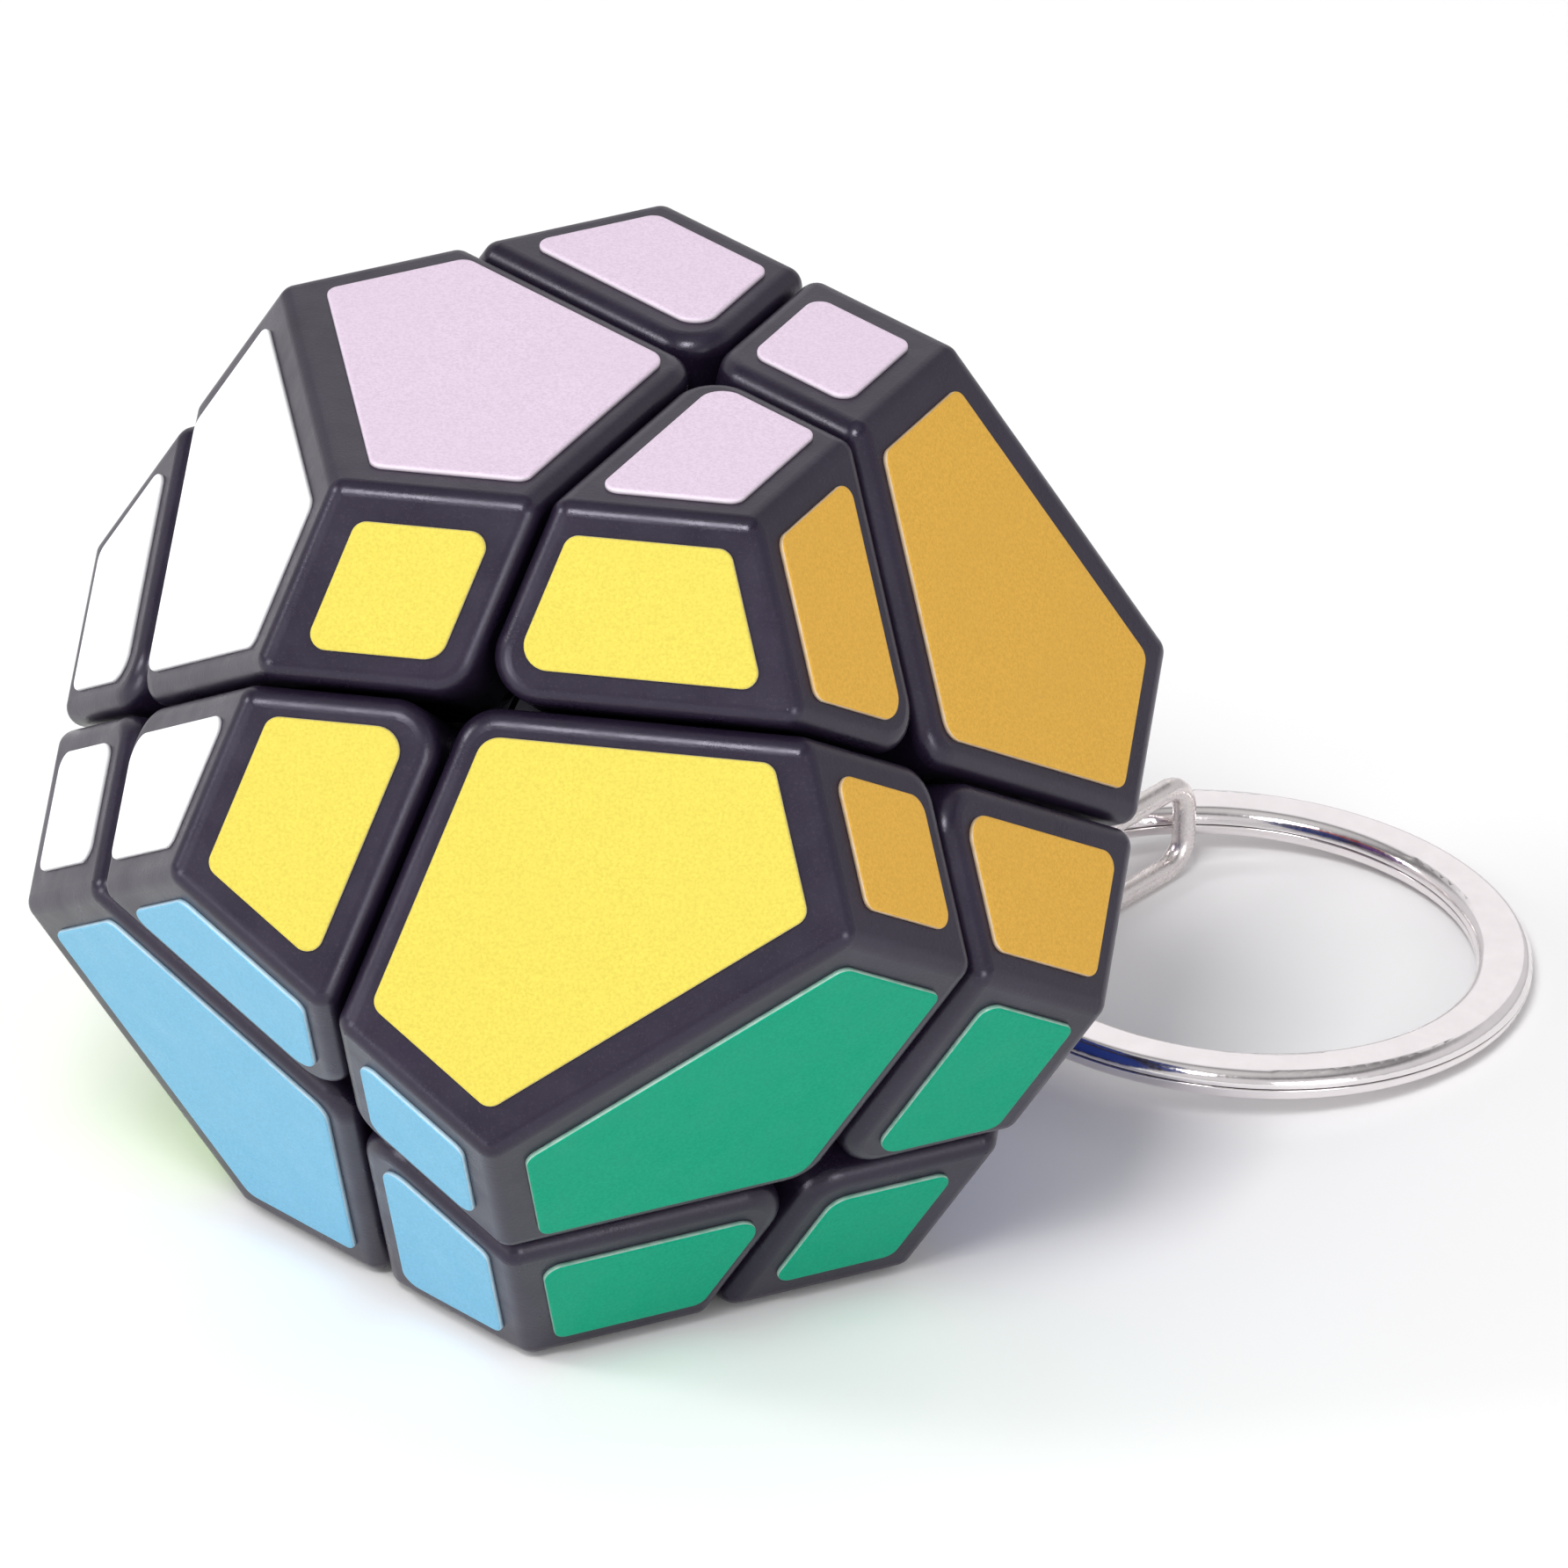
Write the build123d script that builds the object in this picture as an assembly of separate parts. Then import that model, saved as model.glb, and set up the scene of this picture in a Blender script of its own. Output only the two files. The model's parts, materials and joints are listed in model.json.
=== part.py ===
"""Key-chain dodecahedron twisty puzzle: 14 turning pieces on a ball core, with a link and a split ring."""
from build123d import *
from math import asin, cos, degrees, radians, sin, sqrt
import os

# Driving dimensions, in millimetres
EDGE = 17.0               # edge of the dodecahedron
CUT_GAP = 0.25            # clearance between neighbouring pieces at a cut
WALL = 1.2                # wall of a hollow cap
CUT_CORNER_RADIUS = 1.9   # where two cuts meet on a cap
CAP_EDGE_RADIUS = 0.8     # every outer edge of a cap
STICKER_THICKNESS = 0.22

CORE_RADIUS = 8.0
RUNNING_GAP = 0.15        # between sliding spheres
FOOT_OUTER_RADIUS = 12.0  # feet slide between the core and the plates above them
PLATE_OUTER_RADIUS = 13.4
FOOT_REACH = 0.9          # how far feet reach under the next piece's plate
FOOT_GAP = 0.2

SCREW_RADIUS = 0.95
SCREW_TIP = 3.5           # distances along a corner's axis, from the centre
SPRING_SEAT = 11.4
WASHER_SEAT = 14.0
WASHER_RADIUS = 1.8
WASHER_THICKNESS = 0.4
HEAD_RADIUS = 1.7
HEAD_HEIGHT = 1.1
RECESS_LENGTH = 1.8       # the cross in a screw's head
RECESS_WIDTH = 0.45
RECESS_DEPTH = 0.6
POCKET_RADIUS = 1.9
SPRING_RADIUS = 1.4
SPRING_WIRE = 0.4
SPRING_TURNS = 4

LINK_WIRE = 1.0
LINK_LENGTH = 18.9        # between the centres of its two end bars
LINK_HEIGHT = 4.8         # over the wires; the link stands on edge
LINK_CORNER = 1.3
LINK_AZIMUTH = 60.6       # direction it lies in, seen from above
HANG_AZIMUTH = 54.0       # the lower edge of the puzzle that carries the staple
HANG_RADIUS = 17.4        # from the puzzle's axis to the link's inner bar
STAPLE_WIRE = 0.6
STAPLE_HALF_WIDTH = 0.91
STAPLE_CLEARANCE = 0.15   # round the link's inner bar
STAPLE_DEPTH = 3.4        # from the link's inner bar into the puzzle
STAPLE_BEND = 0.75
RING_RADIUS = 12.5
RING_WIDTH = 2.35
RING_TURN = 0.63          # thickness of each of its two turns
RING_TURN_GAP = 0.04
RING_ROUND = 0.55         # the ring's outer edges
RING_SEAM_ROUND = 0.05    # the edges where its two turns meet
RING_DISTANCE = 15.1      # from the link's inner bar to the ring's centre
RING_AZIMUTH = 32.0
RING_STEP_ANGLE = 20.0    # the arc over which its wire steps from one turn to the other
RING_STEP_AZIMUTH = 140.0

# Proportions of a regular dodecahedron, in axes along its inscribed cube
PHI = (1 + sqrt(5)) / 2
CUBE_HALF = EDGE * PHI / 2
INRADIUS = EDGE * PHI**2 / (2 * sqrt(3 - PHI))
REST_HEIGHT = INRADIUS + STICKER_THICKNESS
FEET_INNER = CORE_RADIUS + RUNNING_GAP
PLATE_INNER = FOOT_OUTER_RADIUS + RUNNING_GAP
BIG = 4 * EDGE

X_AXIS, Y_AXIS, Z_AXIS = Vector(1, 0, 0), Vector(0, 1, 0), Vector(0, 0, 1)
DIAGONAL = Vector(1, 1, 1)
FACE_NORMALS = [
    Vector(*way)
    for s in (1, -1)
    for t in (1, -1)
    for way in ((s, 0, t * PHI), (t * PHI, s, 0), (0, t * PHI, s))
]
SCREWED_CORNERS = [Vector(1, 1, 1), Vector(1, -1, -1), Vector(-1, 1, -1), Vector(-1, -1, 1)]
CUT_NORMALS = [corner.normalized() for corner in SCREWED_CORNERS]


# ---- placing ----

def turned(shape, axis, angle):
    """The shape turned about an axis through the centre."""
    return shape.rotate(Axis((0, 0, 0), tuple(axis)), angle) if angle else shape


HALF_TURNS = [(X_AXIS, 0), (X_AXIS, 180), (Y_AXIS, 180), (Z_AXIS, 180)]


def corner_copies(shape):
    """Four copies of a corner's shape, one for each corner of its kind."""
    return [turned(shape, axis, angle) for axis, angle in HALF_TURNS]


def ridge_copies(shape):
    """Six copies of the +Z ridge's shape: +Z, -Z, +X, -X, +Y, -Y."""
    copies = []
    for third, flip in ((0, X_AXIS), (120, Z_AXIS), (240, Z_AXIS)):
        one = turned(shape, DIAGONAL, third)
        copies += [one, turned(one, flip, 180)]
    return copies


def row_location():
    """From the cube's axes to the part's own: a face down, the origin at the middle of that face."""
    up = Vector(PHI, -1, 0).normalized()
    front = Vector(1, 0, PHI)
    back = -(front - up * front.dot(up)).normalized()
    standing = Plane(origin=(0, 0, 0), x_dir=back.cross(up), z_dir=up)
    return Location((0, 0, REST_HEIGHT)) * standing.location.inverse()


ROW = row_location()


def at(azimuth, distance, height=0.0):
    """A point given by its direction and distance from the part's vertical axis."""
    return Vector(distance * cos(radians(azimuth)), distance * sin(radians(azimuth)), height)


# ---- the cuts ----

def half_space(shape, normal, offset):
    """What is left of the shape on the far side of a plane, along its normal."""
    return split(shape, bisect_by=Plane(origin=normal * offset, z_dir=normal), keep=Keep.TOP)


def trimmed(shape, signs, clearance, shift=0.0):
    """The shape inside one piece's cone. signs say which side of each cut the piece is on."""
    for sign, normal in zip(signs, CUT_NORMALS):
        shape = half_space(shape, normal * sign, clearance + sign * shift)
    return shape


def dodecahedron(inset=0.0):
    """The whole outer shape, or the one that lies inset under it."""
    body = Box(BIG, BIG, BIG)
    for normal in FACE_NORMALS:
        body = half_space(body, -normal.normalized(), -(INRADIUS - inset))
    return body


def signs_of(direction):
    """The side of each cut that a piece in this direction is on."""
    return [1 if normal.dot(direction) > 0 else -1 for normal in CUT_NORMALS]


SCREWED_SIGNS = signs_of(Vector(1, 1, 1))
FLOATING_SIGNS = signs_of(Vector(1, -1, 1))
RIDGE_SIGNS = signs_of(Vector(0, 0, 1))


def ball(radius):
    """A ball whose seam lies away from the three pieces that are modelled."""
    return Plane(origin=(0, 0, 0), x_dir=(0, 0, -1), z_dir=(1, 2.5, 0)) * Sphere(radius)


# ---- the outer caps ----

def is_cut_corner(edge):
    """True for the straight edges where two cuts meet, which run out from the centre."""
    along = edge.tangent_at(0.5)
    return edge.center().cross(along).length < 1.0


def cap(signs):
    """A hollow cap: rounded outside, open towards the plate that it stands on."""
    body = trimmed(dodecahedron(), signs, CUT_GAP / 2) - ball(PLATE_OUTER_RADIUS)
    body = fillet([e for e in body.edges() if is_cut_corner(e)], CUT_CORNER_RADIUS)
    outer = [e for e in body.edges() if e.center().length > INRADIUS - CAP_EDGE_RADIUS]
    body = fillet(outer, CAP_EDGE_RADIUS)
    hollow = trimmed(dodecahedron(WALL), signs, CUT_GAP / 2 + WALL)
    return body - hollow


# ---- the inner bases ----

def shell(inner, outer):
    """A hollow ball."""
    return ball(outer) - ball(inner)


def base(signs):
    """A plate under the cap, and a foot that slides on the core and reaches under the next plates."""
    def foot_region(shape):
        return trimmed(shape, signs, FOOT_GAP / 2, -FOOT_REACH)

    neck = foot_region(trimmed(shell(FEET_INNER, PLATE_OUTER_RADIUS), signs, CUT_GAP / 2))
    plate = trimmed(shell(PLATE_INNER, PLATE_OUTER_RADIUS), signs, CUT_GAP / 2)
    foot = foot_region(shell(FEET_INNER, FOOT_OUTER_RADIUS))
    return neck + plate + foot


def on_corner_axis(radius, start, end):
    """A cylinder along the (1, 1, 1) corner's axis, between two distances from the centre."""
    ground = Plane(origin=DIAGONAL.normalized() * start, z_dir=DIAGONAL.normalized())
    return ground * Cylinder(radius, end - start, align=(Align.CENTER, Align.CENTER, Align.MIN))


def screwed_base():
    """A corner's base with its screw hole and spring pocket."""
    hole = on_corner_axis(SCREW_RADIUS + 0.1, CORE_RADIUS - 1, PLATE_OUTER_RADIUS)
    pocket = on_corner_axis(POCKET_RADIUS, SPRING_SEAT, PLATE_OUTER_RADIUS + 1)
    return base(SCREWED_SIGNS) - hole - pocket


# ---- core and fasteners ----

def core():
    """The ball that the four corners are screwed to."""
    hole = on_corner_axis(SCREW_RADIUS + 0.02, SCREW_TIP - 0.3, CORE_RADIUS + 1)
    body = Sphere(CORE_RADIUS)
    for one in corner_copies(hole):
        body -= one
    return body


def screw():
    """A pan-head screw with a cross recess."""
    head_start = WASHER_SEAT + WASHER_THICKNESS
    head_end = head_start + HEAD_HEIGHT
    head = on_corner_axis(HEAD_RADIUS, head_start, head_end)
    rim = [e for e in head.edges() if e.center().length > head_end - 0.01]
    head = fillet(rim, 0.6 * HEAD_HEIGHT)
    top = Plane(origin=DIAGONAL.normalized() * head_end, z_dir=DIAGONAL.normalized())
    slot = Box(RECESS_LENGTH, RECESS_WIDTH, 2 * RECESS_DEPTH)
    recess = top * (slot + Rotation(0, 0, 90) * slot)
    return head - recess + on_corner_axis(SCREW_RADIUS, SCREW_TIP, head_start)


def washer():
    """The plain washer between the screw's head and the spring."""
    disc = on_corner_axis(WASHER_RADIUS, WASHER_SEAT, WASHER_SEAT + WASHER_THICKNESS)
    return disc - on_corner_axis(SCREW_RADIUS + 0.05, WASHER_SEAT - 1, WASHER_SEAT + 1)


def spring():
    """The compression spring under the washer."""
    length = WASHER_SEAT - SPRING_SEAT - SPRING_WIRE - 0.1
    path = Helix(pitch=length / SPRING_TURNS, height=length, radius=SPRING_RADIUS)
    section = Plane(origin=path @ 0, z_dir=path % 0) * Circle(SPRING_WIRE / 2)
    coil = sweep(section, path=path, is_frenet=True)
    seat = DIAGONAL.normalized() * (SPRING_SEAT + SPRING_WIRE / 2 + 0.05)
    return Plane(origin=seat, z_dir=DIAGONAL.normalized()) * coil


# ---- stickers ----

FACE = Plane(
    origin=Vector(1, 0, PHI).normalized() * INRADIUS, x_dir=(0, 1, 0), z_dir=(1, 0, PHI)
)
CUBE_A, RIDGE_A, RIDGE_B, CUBE_B, TIP = [
    FACE.to_local_coords(Vector(*point) * CUBE_HALF)
    for point in ((1, -1, 1), (0, -1 / PHI, PHI), (0, 1 / PHI, PHI), (1, 1, 1), (PHI, 0, 1 / PHI))
]
MID_RIDGE_A, MID_RIDGE_B = (CUBE_A + RIDGE_A) * 0.5, (CUBE_B + RIDGE_B) * 0.5
MID_TIP_A, MID_TIP_B = (CUBE_A + TIP) * 0.5, (CUBE_B + TIP) * 0.5
CUT_MARGIN, EDGE_MARGIN, RIDGE_MARGIN, CORNER_MARGIN = 1.4, 1.42, 1.58, 1.2
CROSSING_ROUND, STICKER_ROUND = 1.0, 0.65


def crossing(p, p_way, q, q_way):
    """Where two lines of the face's plane cross, each given by a point and a direction."""
    turn = p_way.X * q_way.Y - p_way.Y * q_way.X
    gap = q - p
    return p + p_way * ((gap.X * q_way.Y - gap.Y * q_way.X) / turn)


CROSSING = crossing(
    MID_RIDGE_A, MID_TIP_B - MID_RIDGE_A, MID_RIDGE_B, MID_TIP_A - MID_RIDGE_B
)


def sticker(points, margins):
    """A sticker inside a region of the face. The first point is the crossing of the cuts."""
    middle = sum(points, Vector()) / len(points)
    sides = []
    for here, after, margin in zip(points, points[1:] + points[:1], margins):
        way = (after - here).normalized()
        inward = Vector(-way.Y, way.X)
        if inward.dot(middle - here) < 0:
            inward = -inward
        sides.append((here + inward * margin, way))
    corners = [crossing(*sides[k - 1], *sides[k]) for k in range(len(sides))]
    outline = make_face(Polyline(*corners, close=True))
    first = outline.vertices().sort_by_distance(corners[0])[0]
    outline = fillet(first, CROSSING_ROUND)
    sharp = [v for v in outline.vertices() if min((Vector(v) - c).length for c in corners[1:]) < 0.01]
    outline = fillet(sharp, STICKER_ROUND)
    return extrude(FACE * outline, amount=STICKER_THICKNESS, dir=FACE.z_dir)


def big_sticker():
    """The pentagon on a ridge piece."""
    region = [CROSSING, MID_RIDGE_A, RIDGE_A, RIDGE_B, MID_RIDGE_B]
    return sticker(region, [CUT_MARGIN, EDGE_MARGIN, RIDGE_MARGIN, EDGE_MARGIN, CUT_MARGIN])


def tip_sticker():
    """The rhombus on the end of a ridge piece."""
    region = [CROSSING, MID_TIP_B, TIP, MID_TIP_A]
    return sticker(region, [CUT_MARGIN, EDGE_MARGIN, EDGE_MARGIN, CUT_MARGIN])


def corner_sticker(cube, mid_tip, mid_ridge):
    """The trapezium on a corner piece."""
    region = [CROSSING, mid_tip, cube, mid_ridge]
    return sticker(region, [CUT_MARGIN, CORNER_MARGIN, CORNER_MARGIN, CUT_MARGIN])


def thirds(shape, axis):
    """Three copies about a corner's axis, as separate solids."""
    return [turned(shape, axis, angle) for angle in (0, 120, 240)]


def ridge_stickers():
    """Two pentagons and two rhombuses on the +Z ridge."""
    tip = turned(tip_sticker(), DIAGONAL, 240)
    pair = [big_sticker(), tip]
    return pair + [turned(one, Z_AXIS, 180) for one in pair]


# ---- key ring ----

HANG = at(HANG_AZIMUTH, HANG_RADIUS)
LINK_MIDDLE = LINK_HEIGHT / 2


def staple():
    """A U of wire, pressed into the puzzle's lower edge, that holds the link's inner bar."""
    reach = LINK_WIRE / 2 + STAPLE_CLEARANCE + STAPLE_WIRE / 2
    out, across = at(HANG_AZIMUTH, 1), at(HANG_AZIMUTH + 90, STAPLE_HALF_WIDTH)
    middle = HANG + Z_AXIS * LINK_MIDDLE
    inner, outer = middle - out * STAPLE_DEPTH, middle + out * reach
    corners = [inner - across, outer - across, outer + across, inner + across]
    path = FilletPolyline(*corners, radius=STAPLE_BEND)
    return sweep(Plane(origin=path @ 0, z_dir=path % 0) * Circle(STAPLE_WIRE / 2), path=path)


def link():
    """A long closed wire link that stands on edge on what the puzzle stands on."""
    half, low, high = LINK_LENGTH / 2, LINK_WIRE / 2, LINK_HEIGHT - LINK_WIRE / 2
    upright = Plane(origin=HANG, x_dir=at(LINK_AZIMUTH, 1), z_dir=at(LINK_AZIMUTH - 90, 1))
    outline = RectangleRounded(LINK_LENGTH, high - low, LINK_CORNER)
    path = (upright * Location((half, LINK_MIDDLE)) * outline).wire()
    return sweep(Plane(origin=path @ 0, z_dir=path % 0) * Circle(LINK_WIRE / 2), path=path)


def ring_section(share):
    """The section of the ring's flat wire: of its upper turn at share 0, of its lower turn at 1."""
    height = (RING_TURN + RING_TURN_GAP) / 2 * cos(radians(180 * share))
    change = (RING_ROUND - RING_SEAM_ROUND) * share
    section = Rectangle(RING_WIDTH, RING_TURN)
    section = fillet(section.vertices().filter_by(lambda v: v.Y > 0), RING_ROUND - change)
    lower = section.vertices().filter_by(lambda v: v.Y < 0.01 - RING_TURN / 2)
    section = fillet(lower, RING_SEAM_ROUND + change)
    return Plane.XZ * Location((RING_RADIUS - RING_WIDTH / 2, height)) * section


def flat_split_ring():
    """Two turns of flat wire. The wire steps down between its two ends, which face each other."""
    run = 360 - RING_STEP_ANGLE
    upper, lower = [
        Rotation(0, 0, RING_STEP_ANGLE) * revolve(ring_section(share), Axis.Z, run) for share in (0, 1)
    ]
    steps = 8
    sections = [
        Rotation(0, 0, RING_STEP_ANGLE * k / steps) * ring_section(k / steps) for k in range(steps + 1)
    ]
    return upper + loft(sections) + lower


def split_ring():
    """The split ring, through the link, leaning from the link down to what the puzzle stands on."""
    centre = HANG + at(RING_AZIMUTH, RING_DISTANCE)
    way = at(LINK_AZIMUTH, 1)
    middle = RING_RADIUS - RING_WIDTH / 2
    back = HANG - centre
    along = -back.dot(way) - sqrt(back.dot(way) ** 2 - back.dot(back) + middle**2)
    pivot = HANG + way * along
    axis = Z_AXIS.cross(centre - pivot).normalized()
    half = RING_TURN + RING_TURN_GAP / 2
    lean = degrees(asin((LINK_MIDDLE - half) / (2 * middle + RING_WIDTH / 2)))
    level = Location(centre + Z_AXIS * LINK_MIDDLE) * Rotation(0, 0, RING_STEP_AZIMUTH)
    ring = level * flat_split_ring()
    return ring.rotate(Axis(tuple(pivot + Z_AXIS * LINK_MIDDLE), tuple(axis)), lean)


# ---- writing ----

def write(name, *solids):
    """One STEP file for each node, holding its separate solids."""
    flat = [solid for shape in solids for solid in shape.solids()]
    node = Compound(label=name, children=flat) if len(flat) > 1 else flat[0]
    export_step(node, f"parts/{name}.step")


def write_pieces(kind, copies, the_base, the_cap, stickers):
    """The base, cap and stickers of each piece of one kind."""
    bases, caps = copies(the_base), copies(the_cap)
    sets = zip(*[copies(one) for one in stickers])
    for number, (one_base, one_cap, one_set) in enumerate(zip(bases, caps, sets), 1):
        yield f"{kind}_base_{number}", [ROW * one_base]
        yield f"{kind}_cap_{number}", [ROW * one_cap]
        yield f"{kind}_stickers_{number}", [ROW * one for one in one_set]


def nodes():
    """Every node's name and solids, in the part's own axes."""
    yield "core", [ROW * core()]
    yield "corner_screws", [ROW * one for one in corner_copies(screw())]
    yield "corner_washers", [ROW * one for one in corner_copies(washer())]
    for number, one in enumerate(corner_copies(spring()), 1):
        yield f"corner_spring_{number}", [ROW * one]
    screwed_set = thirds(corner_sticker(CUBE_B, MID_TIP_B, MID_RIDGE_B), Vector(1, 1, 1))
    floating_set = thirds(corner_sticker(CUBE_A, MID_TIP_A, MID_RIDGE_A), Vector(1, -1, 1))
    yield from write_pieces(
        "screwed_corner", corner_copies, screwed_base(), cap(SCREWED_SIGNS), screwed_set
    )
    yield from write_pieces(
        "floating_corner", corner_copies, base(FLOATING_SIGNS), cap(FLOATING_SIGNS), floating_set
    )
    yield from write_pieces("ridge", ridge_copies, base(RIDGE_SIGNS), cap(RIDGE_SIGNS), ridge_stickers())
    yield "hang_staple", [staple()]
    yield "wire_link", [link()]
    yield "split_ring", [split_ring()]


HANG_CAP = "ridge_cap_4"  # the piece that the staple is pressed into

os.makedirs("parts", exist_ok=True)
made = dict(nodes())
made[HANG_CAP] = [made[HANG_CAP][0] - made["hang_staple"][0]]
for name, solids in made.items():
    write(name, *solids)
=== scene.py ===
"""Looks for the key-chain dodecahedron twisty puzzle: satin plastic, vinyl stickers, plated link and ring."""
import json
import math

import bpy
from mathutils import Matrix, Vector


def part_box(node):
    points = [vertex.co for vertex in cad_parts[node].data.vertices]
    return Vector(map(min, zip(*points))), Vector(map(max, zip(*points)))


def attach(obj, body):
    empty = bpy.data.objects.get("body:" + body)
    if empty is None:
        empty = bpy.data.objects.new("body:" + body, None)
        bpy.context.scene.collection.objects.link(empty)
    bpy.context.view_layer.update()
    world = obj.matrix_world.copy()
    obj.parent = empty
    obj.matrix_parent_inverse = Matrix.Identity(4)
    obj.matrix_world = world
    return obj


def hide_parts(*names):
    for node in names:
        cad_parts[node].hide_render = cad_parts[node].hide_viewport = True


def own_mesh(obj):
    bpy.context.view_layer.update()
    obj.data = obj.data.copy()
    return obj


MM = 0.001
SCREWED_CORNERS = range(1, 5)
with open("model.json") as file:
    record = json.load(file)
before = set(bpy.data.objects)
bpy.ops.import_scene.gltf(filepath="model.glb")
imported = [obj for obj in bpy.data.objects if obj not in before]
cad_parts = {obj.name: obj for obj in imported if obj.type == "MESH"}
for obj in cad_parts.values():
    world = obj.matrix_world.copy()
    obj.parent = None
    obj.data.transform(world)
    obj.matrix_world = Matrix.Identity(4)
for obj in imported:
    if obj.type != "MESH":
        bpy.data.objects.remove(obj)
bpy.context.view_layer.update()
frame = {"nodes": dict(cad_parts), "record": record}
nodes = frame["nodes"]
BODY_OF = {n: body for body, names in frame["record"]["behaviour"]["bodies"].items() for n in names}


# ---- faces of the dodecahedron ----

SLOPE = math.degrees(math.atan(0.5))  # elevation of the faces next to the top one
# colour, and the azimuth and elevation in degrees that the face looks to
FACES = [
    ("lilac", 0, 90), ("silver", 0, -90),
    ("yellow", -90, SLOPE), ("gold", -18, SLOPE), ("red", 54, SLOPE),
    ("orange", 126, SLOPE), ("white", 198, SLOPE),
    ("green", -54, -SLOPE), ("navy", 18, -SLOPE), ("purple", 90, -SLOPE),
    ("lime", 162, -SLOPE), ("blue", -126, -SLOPE),
]
STICKER_COLOURS = {
    "lilac": (0.68, 0.56, 0.68), "yellow": (0.585, 0.49, 0.078), "gold": (0.61, 0.345, 0.054),
    "white": (0.89, 0.89, 0.90), "blue": (0.17, 0.42, 0.59), "green": (0.0, 0.29, 0.165),
    "red": (0.55, 0.012, 0.02), "orange": (0.80, 0.16, 0.015), "navy": (0.012, 0.035, 0.22),
    "purple": (0.15, 0.03, 0.26), "lime": (0.28, 0.60, 0.045), "silver": (0.36, 0.37, 0.39),
}


def direction(azimuth, elevation):
    """The unit vector at an azimuth and an elevation in degrees."""
    a, e = math.radians(azimuth), math.radians(elevation)
    return Vector((math.cos(a) * math.cos(e), math.sin(a) * math.cos(e), math.sin(e)))


# ---- material helpers ----

def shade(colour, gain, lift=0.0):
    """The colour made lighter or darker by gain, and paler by lift."""
    return tuple(min(1, c * gain + lift) for c in colour)


# sockets of the Mix node when it mixes colours
MIX_FACTOR, MIX_A, MIX_B, MIX_RESULT = 0, 6, 7, 2


class Shader:
    """A material with a Principled shader and short ways to add nodes to it."""

    def __init__(self, name):
        self.material = bpy.data.materials.new(name)
        self.material.use_nodes = True
        self.tree = self.material.node_tree
        self.bsdf = self.tree.nodes["Principled BSDF"]
        self.place = self.add("ShaderNodeTexCoord").outputs["Object"]

    def add(self, kind):
        return self.tree.nodes.new(kind)

    def link(self, source, target):
        self.tree.links.new(source, target)

    def set(self, **values):
        """Gives the Principled shader's inputs constant values."""
        for key, value in values.items():
            self.bsdf.inputs[key.replace("_", " ")].default_value = value
        return self

    def noise(self, size_mm, detail=3.0, rough=0.55, place=None):
        """Noise whose grains are about size_mm across, 0 to 1 and mostly 0.3 to 0.7."""
        node = self.add("ShaderNodeTexNoise")
        node.inputs["Scale"].default_value = 1.0 / (size_mm * MM)
        node.inputs["Detail"].default_value = detail
        node.inputs["Roughness"].default_value = rough
        self.link(self.place if place is None else place, node.inputs["Vector"])
        return node.outputs["Fac"]

    def stretched(self, scale):
        """The object's coordinates scaled on each axis, for noise with long grains."""
        node = self.add("ShaderNodeMapping")
        node.inputs["Scale"].default_value = scale
        self.link(self.place, node.inputs["Vector"])
        return node.outputs["Vector"]

    def ranged(self, source, low, high, start=0.3, end=0.7):
        """The source's stretch from start to end, spread from low to high."""
        node = self.add("ShaderNodeMapRange")
        for key, value in (("From Min", start), ("From Max", end), ("To Min", low), ("To Max", high)):
            node.inputs[key].default_value = value
        self.link(source, node.inputs["Value"])
        return node.outputs["Result"]

    def mix(self, factor, a, b):
        """Colours a and b, each a socket or a constant, mixed by a factor socket."""
        node = self.add("ShaderNodeMix")
        node.data_type = "RGBA"
        self.link(factor, node.inputs[MIX_FACTOR])
        for index, value in ((MIX_A, a), (MIX_B, b)):
            if isinstance(value, bpy.types.NodeSocket):
                self.link(value, node.inputs[index])
            else:
                node.inputs[index].default_value = (*value, 1)
        return node.outputs[MIX_RESULT]

    def bump(self, height, distance_mm, strength, under=None):
        """Normals from a height, on top of the normals under it."""
        node = self.add("ShaderNodeBump")
        node.inputs["Distance"].default_value = distance_mm * MM
        node.inputs["Strength"].default_value = strength
        self.link(height, node.inputs["Height"])
        if under is not None:
            self.link(under, node.inputs["Normal"])
        return node.outputs["Normal"]


def plastic(name, colour, roughness, grain_mm=0.16):
    """Satin moulded plastic: fine grain, faint handling marks, slow change of tone."""
    s = Shader(name)
    tone = s.ranged(s.noise(5.0), 0.0, 1.0)
    dust = s.ranged(s.noise(0.12, 2.0), 0.0, 0.45, 0.56, 0.72)
    clean = s.mix(tone, shade(colour, 0.8), shade(colour, 1.2))
    s.link(s.mix(dust, clean, shade(colour, 1.9, 0.01)), s.bsdf.inputs["Base Color"])
    rub = s.noise(2.2, 4.0)
    s.link(s.ranged(rub, roughness - 0.06, roughness + 0.08), s.bsdf.inputs["Roughness"])
    grain = s.bump(s.noise(grain_mm, 3.0, 0.6), 0.012, 0.55)
    s.link(s.bump(s.noise(1.4, 2.0), 0.03, 0.3, grain), s.bsdf.inputs["Normal"])
    return s.set(Specular_IOR_Level=0.5, Specular_Tint=(0.90, 0.86, 1.0, 1.0)).material


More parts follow.
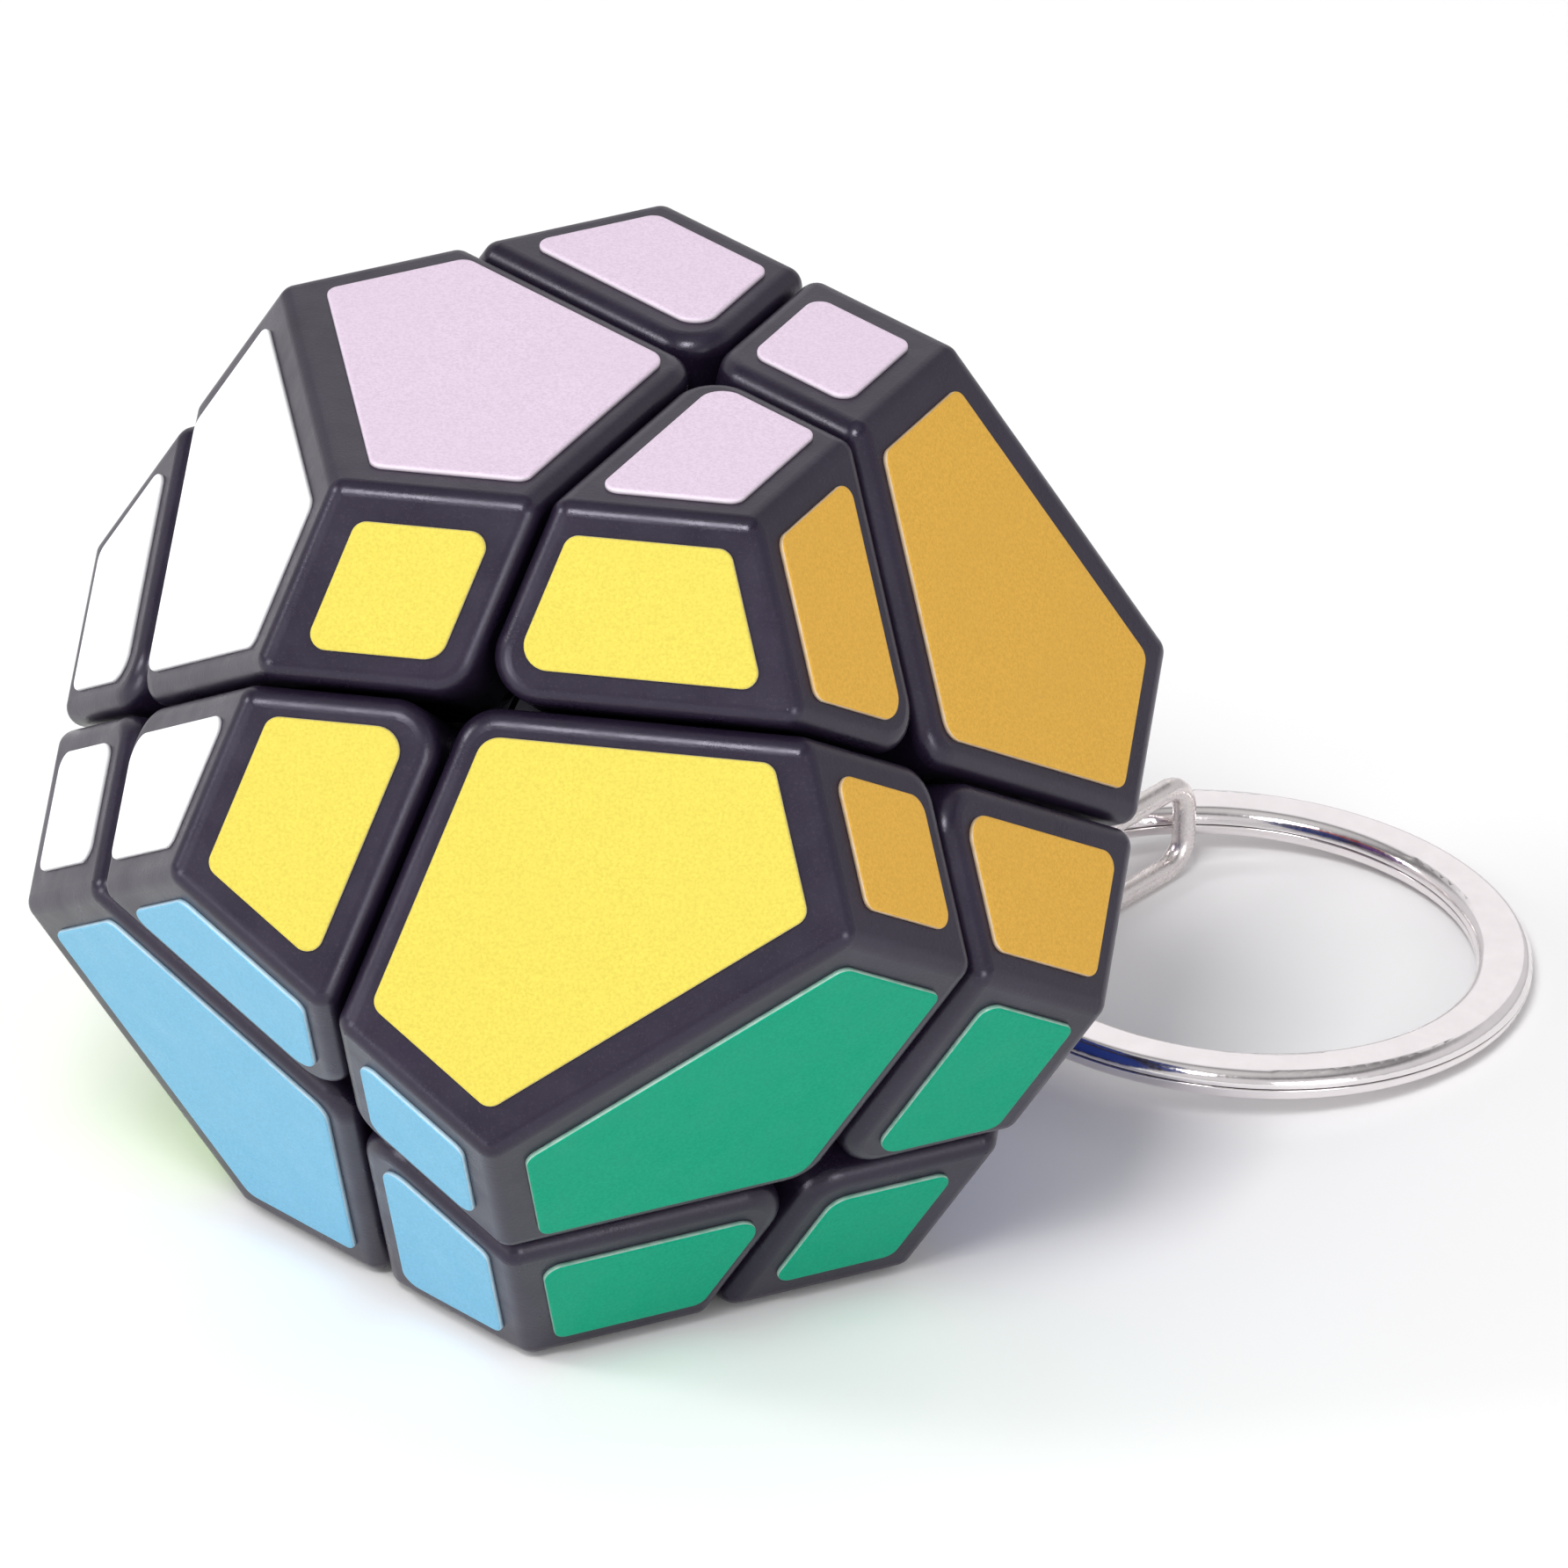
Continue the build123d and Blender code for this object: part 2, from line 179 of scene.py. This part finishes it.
def vinyl(name, colour):
    """Printed vinyl film: fine speckle in the ink, soft sheen, orange-peel surface."""
    s = Shader(name)
    speckle = s.ranged(s.noise(0.13, 3.0, 0.7), 0.0, 1.0, 0.36, 0.64)
    cloud = s.ranged(s.noise(4.5, 3.0), 0.0, 0.35)
    inked = s.mix(speckle, shade(colour, 0.90), shade(colour, 1.08, 0.004))
    s.link(s.mix(cloud, inked, shade(colour, 0.95, 0.008)), s.bsdf.inputs["Base Color"])
    s.link(s.ranged(s.noise(1.8, 3.0), 0.36, 0.50), s.bsdf.inputs["Roughness"])
    peel = s.bump(s.noise(0.22, 2.0), 0.006, 0.5)
    s.link(s.bump(s.noise(2.6, 2.0), 0.03, 0.35, peel), s.bsdf.inputs["Normal"])
    return s.set(Specular_IOR_Level=0.08).material


def painted_highlight_edge(name, colour):
    """The cut edge of a sticker, paler than its ink: a painted highlight of the lit rim, on the pale film
    that shows through the ink.
    """
    s = Shader(name)
    nick = s.ranged(s.noise(0.6, 3.0), 0.0, 1.0, 0.4, 0.65)
    # both pale shades paint the rim's highlight into the edge colour, over the film's pale core
    s.link(s.mix(nick, shade(colour, 0.6, 0.32), shade(colour, 0.75, 0.2)), s.bsdf.inputs["Base Color"])
    s.link(s.ranged(s.noise(0.5), 0.3, 0.5), s.bsdf.inputs["Roughness"])
    return s.material


def metal(name, colour, roughness, scratch=0.5):
    """Nickel plate: polished, with fine scratches and a little uneven plating."""
    s = Shader(name)
    fine = s.noise(0.14, 4.0, 0.5, s.stretched((1.0, 0.18, 1.0)))
    cloud = s.ranged(s.noise(1.6, 4.0), 0.0, 1.0)
    s.link(s.mix(cloud, shade(colour, 0.93), colour), s.bsdf.inputs["Base Color"])
    s.link(s.ranged(fine, roughness * 0.7, roughness * 1.5), s.bsdf.inputs["Roughness"])
    scratches = s.bump(fine, 0.006, scratch)
    s.link(s.bump(s.noise(0.9, 2.0), 0.02, 0.35, scratches), s.bsdf.inputs["Normal"])
    return s.set(Metallic=1.0).material


# ---- materials on the CAD nodes that show as they are ----

CAP = plastic("satin_black_plastic", (0.011, 0.007, 0.018), 0.30)
INNER = plastic("inner_black_plastic", (0.010, 0.008, 0.011), 0.5, 0.25)
RING = metal("nickel_ring", (0.90, 0.855, 0.86), 0.13)
LINK = metal("nickel_wire", (0.80, 0.75, 0.74), 0.26, 0.6)
STEEL = metal("zinc_steel", (0.62, 0.62, 0.64), 0.3)
SPRING = metal("spring_steel", (0.5, 0.5, 0.52), 0.26)
FINISHES = [
    ("_cap_", CAP), ("_base_", INNER), ("core", INNER), ("corner_screws", STEEL),
    ("corner_washers", STEEL), ("corner_spring", SPRING), ("split_ring", RING),
    ("wire_link", LINK), ("hang_staple", LINK),
]
for name, node in nodes.items():
    for word, finish in FINISHES:
        if word in name:
            node.data.materials.clear()
            node.data.materials.append(finish)


# ---- stickers ----

def centre_of_puzzle():
    """The middle of the box round all the caps."""
    low, high = Vector((1, 1, 1)), Vector((-1, -1, -1))
    for name in nodes:
        if "_cap_" in name:
            a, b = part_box(name)
            low = Vector(map(min, low, a))
            high = Vector(map(max, high, b))
    return (low + high) / 2


SAME_PLACE = 1e-4 * MM  # vertices closer than this are one
FLAT_TOP = 0.02 * MM    # a sticker's vertices this near its highest are on its top


def islands(mesh):
    """The mesh's vertices grouped into its separate solids."""
    parent = list(range(len(mesh.vertices)))

    def root(i):
        while parent[i] != i:
            parent[i] = parent[parent[i]]
            i = parent[i]
        return i

    same = {}
    for v in mesh.vertices:
        key = tuple(round(c / SAME_PLACE) for c in v.co)
        if key in same:
            parent[root(v.index)] = root(same[key])
        same[key] = v.index
    for e in mesh.edges:
        a, b = (root(i) for i in e.vertices)
        parent[a] = b
    groups = {}
    for v in mesh.vertices:
        groups.setdefault(root(v.index), []).append(v.co.copy())
    return [groups[k] for k in sorted(groups)]


def face_of(points, centre):
    """The face of the dodecahedron that a sticker's points are on."""
    middle = sum(points, Vector()) / len(points) - centre
    return max(FACES, key=lambda f: middle.dot(direction(f[1], f[2])))


def outline_of(points, centre, normal):
    """The sticker's outline on its face, in order, with the axes and heights that it is given in."""
    heights = [(p - centre).dot(normal) for p in points]
    top, foot = max(heights), min(heights)
    middle = sum(points, Vector()) / len(points)
    x_way = normal.orthogonal().normalized()
    y_way = normal.cross(x_way)
    flat = {}
    for p, h in zip(points, heights):
        if h > top - FLAT_TOP:
            d = p - middle
            x, y = d.dot(x_way), d.dot(y_way)
            flat[(round(x / SAME_PLACE), round(y / SAME_PLACE))] = (x, y)
    around = sorted(flat.values(), key=lambda q: math.atan2(q[1], q[0]))
    return around, x_way, y_way, middle, top, foot


SHARPEST = 0.25  # least squared length of a corner's mean way in, so that no corner moves too far


def inset(loop, depth):
    """The loop of a convex outline moved inwards by depth."""
    made = []
    for k, here in enumerate(loop):
        before, after = loop[k - 1], loop[(k + 1) % len(loop)]
        ways = []
        for a, b in ((before, here), (here, after)):
            d = Vector((b[0] - a[0], b[1] - a[1])).normalized()
            ways.append(Vector((-d.y, d.x)))
        n = (ways[0] + ways[1]) / 2
        n = n / max(n.length_squared, SHARPEST)
        made.append((here[0] + n.x * depth, here[1] + n.y * depth))
    return made


FILM_SLOT, EDGE_SLOT = 0, 1
EDGE_ROWS = 2  # the lowest rows of faces, which are the film's cut edge and carry its painted highlight
# height share and inset in mm from the foot of a sticker to its flat top
RIM = [(0.0, 0.0), (0.55, 0.0), (0.80, 0.015), (0.93, 0.045), (0.99, 0.09), (1.0, 0.16)]


def sticker_piece(name, points, centre, face):
    """A sticker on the CAD sticker's outline, with its upper edge rounded."""
    normal = direction(face[1], face[2])
    loop, x_way, y_way, middle, top, foot = outline_of(points, centre, normal)
    level = (middle - centre).dot(normal)
    verts, faces, marks = [], [], []
    count = len(loop)
    for share, depth in RIM:
        height = foot + (top - foot) * share - level
        for x, y in inset(loop, depth * MM):
            verts.append(middle + x_way * x + y_way * y + normal * height)
    for ring in range(len(RIM) - 1):
        for k in range(count):
            a, b = ring * count + k, ring * count + (k + 1) % count
            faces.append((a, b, b + count, a + count))
            marks.append(EDGE_SLOT if ring < EDGE_ROWS else FILM_SLOT)
    faces.append(tuple(range((len(RIM) - 1) * count, len(RIM) * count)))
    faces.append(tuple(reversed(range(count))))
    marks += [FILM_SLOT, EDGE_SLOT]
    mesh = bpy.data.meshes.new(name)
    mesh.from_pydata([tuple(v) for v in verts], [], faces)
    mesh.materials.append(FILM[face[0]])
    # the second slot is the cut edge, paler with a painted rim highlight
    mesh.materials.append(PAINTED_HIGHLIGHT_EDGE[face[0]])
    mesh.polygons.foreach_set("material_index", marks)
    mesh.polygons.foreach_set("use_smooth", [True] * (len(faces) - 2) + [False, False])
    mesh.update()
    piece = bpy.data.objects.new(name, mesh)
    bpy.context.scene.collection.objects.link(piece)
    return piece


FILM = {c: vinyl(f"vinyl_{c}", rgb) for c, rgb in STICKER_COLOURS.items()}
PAINTED_HIGHLIGHT_EDGE = {c: painted_highlight_edge(f"vinyl_edge_painted_highlight_{c}", rgb) for c, rgb in STICKER_COLOURS.items()}
CENTRE = centre_of_puzzle()
for name in sorted(n for n in nodes if "_stickers_" in n):
    for number, points in enumerate(islands(nodes[name].data), 1):
        face = face_of(points, CENTRE)
        piece = sticker_piece(f"{name}_{number}_{face[0]}", points, CENTRE, face)
        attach(piece, BODY_OF[name])
        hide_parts(name)


# ---- springs ----


def spring_piece(number):
    """A corner's spring, its outer end under the washer and the corner against its inner one: a copy of the
    CAD spring with its own mesh, moved whole with its body.
    """
    node = f"corner_spring_{number}"
    mesh = nodes[node].data.copy()
    piece = bpy.data.objects.new(f"{node}_coil", mesh)
    bpy.context.scene.collection.objects.link(piece)
    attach(piece, BODY_OF[node])
    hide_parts(node)
    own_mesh(piece)


for number in SCREWED_CORNERS:
    spring_piece(number)


# ---- floor, lights and camera ----

FLOOR_SIZE = 6.0
FLOOR_DROP = 0.01 * MM  # keeps the floor out of the lowest stickers' own plane
FLOOR_GREYS = (0.93, 0.93, 0.93), (0.95, 0.95, 0.95)


def floor():
    """A plain white floor."""
    bpy.ops.mesh.primitive_plane_add(size=FLOOR_SIZE, location=(0, 0, -FLOOR_DROP))
    plane = bpy.context.object
    plane.name = "floor"
    s = Shader("floor_white")
    tone = s.mix(s.ranged(s.noise(60), 0, 1), *FLOOR_GREYS)
    s.link(tone, s.bsdf.inputs["Base Color"])
    s.set(Roughness=0.6, Specular_IOR_Level=0.2)
    plane.data.materials.append(s.material)


# name, azimuth and elevation in degrees, distance and size in metres, and watts
LAMPS = [
    ("key", -98, 54, 0.9, 0.28, 4.7),
    ("left", -165, 32, 0.9, 0.22, 2.0),
    ("low_left", -128, 8, 0.9, 0.35, 2.2),
    ("low_right", -46, 8, 0.9, 0.35, 2.2),
    ("back", 100, 30, 1.2, 0.9, 0.75),
]


def softbox(name, azimuth, elevation, distance, size, power):
    """A square area light that faces the puzzle."""
    light = bpy.data.lights.new(name, "AREA")
    light.size, light.energy = size, power
    lamp = bpy.data.objects.new(name, light)
    way = direction(azimuth, elevation)
    lamp.location = CENTRE + way * distance
    lamp.rotation_euler = way.to_track_quat("Z", "Y").to_euler()
    bpy.context.scene.collection.objects.link(lamp)


# how bright the room is at each height: the sine of the elevation, and a grey
ROOM_STRENGTH = 0.7
ROOM = [(0.0, 0.72), (0.22, 1.0), (0.58, 1.0), (0.78, 0.25), (1.0, 0.08)]
ROOM_GREEN = 0.985  # the room's green beside its red and blue


def studio():
    """A bright room with a dark ceiling, for contrast in the plastic and metal, and soft lamps."""
    world = bpy.data.worlds.new("studio")
    world.use_nodes = True
    tree = world.node_tree
    place = tree.nodes.new("ShaderNodeTexCoord")
    apart = tree.nodes.new("ShaderNodeSeparateXYZ")
    ramp = tree.nodes.new("ShaderNodeValToRGB")
    tree.links.new(place.outputs["Generated"], apart.inputs[0])
    tree.links.new(apart.outputs["Z"], ramp.inputs[0])
    stops = ramp.color_ramp.elements
    for position, grey in ROOM:
        stop = stops.new(position)
        stop.color = (grey, grey * ROOM_GREEN, grey, 1)
    stops.remove(stops[0])
    stops.remove(stops[len(stops) - 1])
    tree.links.new(ramp.outputs["Color"], tree.nodes["Background"].inputs["Color"])
    tree.nodes["Background"].inputs["Strength"].default_value = ROOM_STRENGTH
    bpy.context.scene.world = world
    for lamp in LAMPS:
        softbox(*lamp)
    bpy.context.scene.view_settings.view_transform = "Standard"


CAMERA_AIM = Vector((7.50, 1.30, 18.90)) * MM
CAMERA_AZIMUTH, CAMERA_ELEVATION, CAMERA_ROLL = -80.1454, 29.2319, 0.549
CAMERA_DISTANCE = 0.8766
LENS, SENSOR = 495.8, 36
NEAREST, FARTHEST = 0.05, 20  # what the camera sees, in metres


def camera():
    """A long lens at the photograph's viewing angle."""
    way = direction(CAMERA_AZIMUTH, CAMERA_ELEVATION)
    data = bpy.data.cameras.new("camera")
    data.sensor_width, data.lens = SENSOR, LENS
    data.clip_start, data.clip_end = NEAREST, FARTHEST
    cam = bpy.data.objects.new("camera", data)
    roll = Matrix.Rotation(math.radians(CAMERA_ROLL), 3, "Z")
    turn = way.to_track_quat("Z", "Y").to_matrix() @ roll
    cam.matrix_world = Matrix.Translation(CAMERA_AIM + way * CAMERA_DISTANCE) @ turn.to_4x4()
    bpy.context.scene.collection.objects.link(cam)
    bpy.context.scene.camera = cam


floor()
studio()
camera()
bpy.context.view_layer.update()
